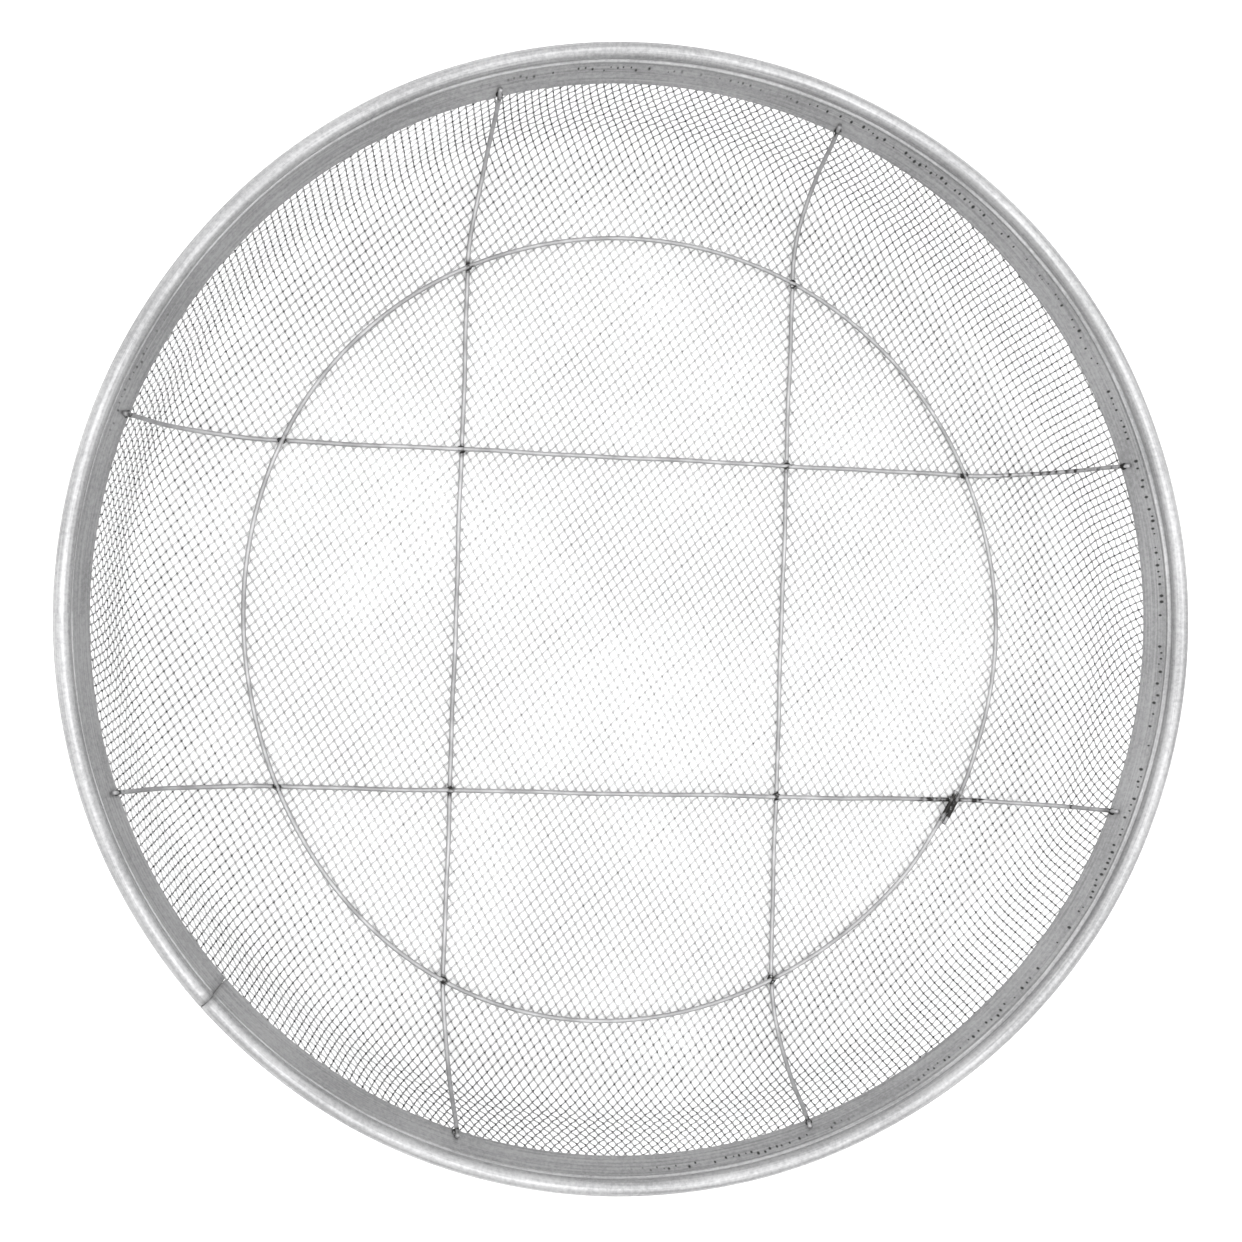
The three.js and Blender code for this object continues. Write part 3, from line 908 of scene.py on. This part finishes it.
welds = find_welds()
spots = scorched_spots(welds)
for rib in RIBS:
    add_rib(rib, spots, wire_mat)
add_piece(lay_wire("ring_wire", ring_points(RING_POINTS), spots, wire_mat), "wire_steel", "support_ring")
for name, (place, normal) in welds.items():
    add_weld(name, place, normal, weld_mat)

# ---- floor, light and camera: metres ----
FLOOR_HALF = 6.0
FLOOR_GREY = 0.9
KEY_PLACE = (-0.3, -0.2, 1.5)
KEY_SIZE = 1.0
KEY_POWER = 3
SKY_BASE, SKY_OVERHEAD, SKY_LEFT = 1.65, 1.45, 0.5


def lay_floor():
    h = FLOOR_HALF
    mesh = bpy.data.meshes.new("floor")
    mesh.from_pydata([(-h, -h, 0), (h, -h, 0), (h, h, 0), (-h, h, 0)], [], [(0, 1, 2, 3)])
    floor = bpy.data.objects.new("floor", mesh)
    bpy.context.scene.collection.objects.link(floor)
    material = bpy.data.materials.new("floor")
    material.use_nodes = True
    shader = material.node_tree.nodes["Principled BSDF"]
    shader.inputs["Base Color"].default_value = (*grey(FLOOR_GREY), 1)
    shader.inputs["Roughness"].default_value = 0.9
    mesh.materials.append(material)


def light_sky():
    """A soft sky, brighter overhead and on the left, with a darker patch low at the front left."""
    world = bpy.data.worlds.new("studio")
    bpy.context.scene.world = world
    world.use_nodes = True
    sky = world.node_tree
    add, _, multiply = arithmetic(sky)
    where = sky.nodes.new("ShaderNodeTexCoord").outputs["Generated"]
    split = sky.nodes.new("ShaderNodeSeparateXYZ")
    sky.links.new(where, split.inputs[0])

    def toward(direction, stops):
        """Brightness by the cosine of the angle from one direction of the sky."""
        aim = node(sky, "ShaderNodeVectorMath", {1: Vector(direction).normalized()}, operation="DOT_PRODUCT")
        sky.links.new(where, aim.inputs[0])
        return ramp(sky, aim.outputs["Value"], stops)

    level = ramp(sky, split.outputs[2], [(0.0, grey(0.6)), (0.15, grey(0.72)), (0.5, grey(1.0))])
    overhead = toward((0.06, -0.1, 1.0), [(0.84, grey(0.0)), (0.93, grey(1.0))])
    left_side = toward((-1.0, -0.1, 0.2), [(0.3, grey(0.0)), (0.9, grey(1.0))])
    dark_patch = toward((-0.52, -0.68, 0.45), [(0.9, grey(1.0)), (0.97, grey(0.3))])
    shade = add(multiply(level, SKY_BASE), multiply(overhead, SKY_OVERHEAD))
    shade = add(shade, multiply(left_side, SKY_LEFT))
    sky.links.new(multiply(shade, dark_patch), sky.nodes["Background"].inputs["Color"])


def hang_key_light():
    lamp = bpy.data.lights.new("key", "AREA")
    lamp.shape = "DISK"
    lamp.size = KEY_SIZE
    lamp.energy = KEY_POWER
    key = bpy.data.objects.new("key", lamp)
    key.location = KEY_PLACE
    key.rotation_euler = (-Vector(KEY_PLACE)).to_track_quat("-Z", "Y").to_euler()
    bpy.context.scene.collection.objects.link(key)


# The camera looks at the middle of the rim from nearly straight above. FOCAL and the shifts
# are in pixels of a frame that is FRAME wide.
FRAME = 1242.0
SENSOR = 36.0
FOCAL = 2100.0
SHIFT_X, SHIFT_Y = -30.0, -5.1
DISTANCE = 0.637
TILT = math.radians(11.55)
TURN = math.radians(6.3)


def place_camera():
    data = bpy.data.cameras.new("camera")
    data.sensor_width = SENSOR
    data.lens = SENSOR * FOCAL / FRAME
    data.shift_x = SHIFT_X / FRAME
    data.shift_y = SHIFT_Y / FRAME
    data.clip_start = 0.01
    camera = bpy.data.objects.new("camera", data)
    away = Vector((-math.sin(TILT) * math.cos(TURN), -math.sin(TILT) * math.sin(TURN), math.cos(TILT)))
    right = (-away).cross(Vector((0, 1, 0))).normalized()
    upward = right.cross(-away).normalized()
    basis = Matrix((right, upward, away)).transposed().to_4x4()
    camera.matrix_world = Matrix.Translation(Vector((0, 0, BEAD_Z * MM)) + away * DISTANCE) @ basis
    bpy.context.scene.collection.objects.link(camera)
    bpy.context.scene.camera = camera


lay_floor()
light_sky()
hang_key_light()
place_camera()
bpy.context.scene.view_settings.view_transform = "Standard"
